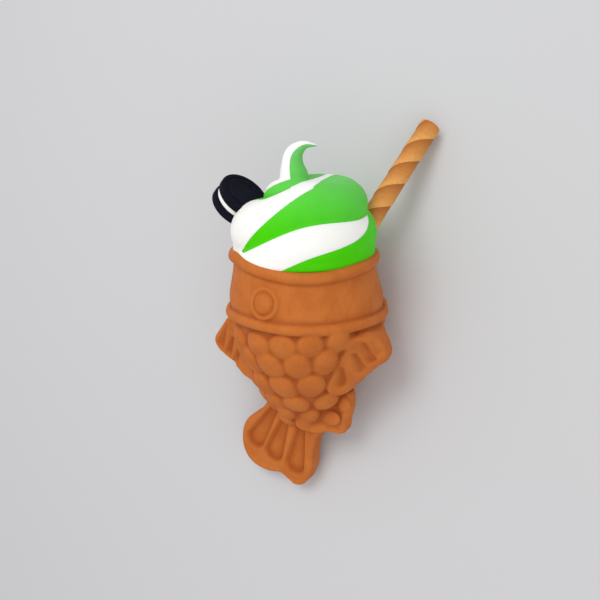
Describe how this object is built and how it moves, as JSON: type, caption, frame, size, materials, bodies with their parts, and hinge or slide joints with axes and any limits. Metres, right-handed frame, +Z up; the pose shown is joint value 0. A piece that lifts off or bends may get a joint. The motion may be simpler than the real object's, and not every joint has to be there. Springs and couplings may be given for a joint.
{
  "type": "taiyaki soft-serve cone",
  "caption": "Fish-shaped waffle cake with a round open mouth full of green and white twist ice cream, with a chocolate sandwich biscuit and a rolled wafer.",
  "frame": {"origin": "middle of the bottom of the bounding box, on the surface that the part lies on", "axes": "+Y from the tail to the mouth and the ice cream, +Z up out of the flank that faces up, +X towards the belly fin"},
  "size_m": [0.1144, 0.2208, 0.0907],
  "materials": {
    "cake": "baked batter",
    "ice_cream_white": "soft ice cream",
    "ice_cream_green": "soft ice cream",
    "chocolate_biscuit": "baked biscuit",
    "biscuit_cream": "sugar cream",
    "rolled_wafer": "crisp wafer"
  },
  "bodies": {
    "root": {"cake": "cake", "ice_cream_white": "ice_cream_white", "ice_cream_green": "ice_cream_green", "biscuit_outer_wafer": "chocolate_biscuit", "biscuit_cream": "biscuit_cream", "biscuit_inner_wafer": "chocolate_biscuit", "wafer_roll": "rolled_wafer"}
  },
  "joints": []
}
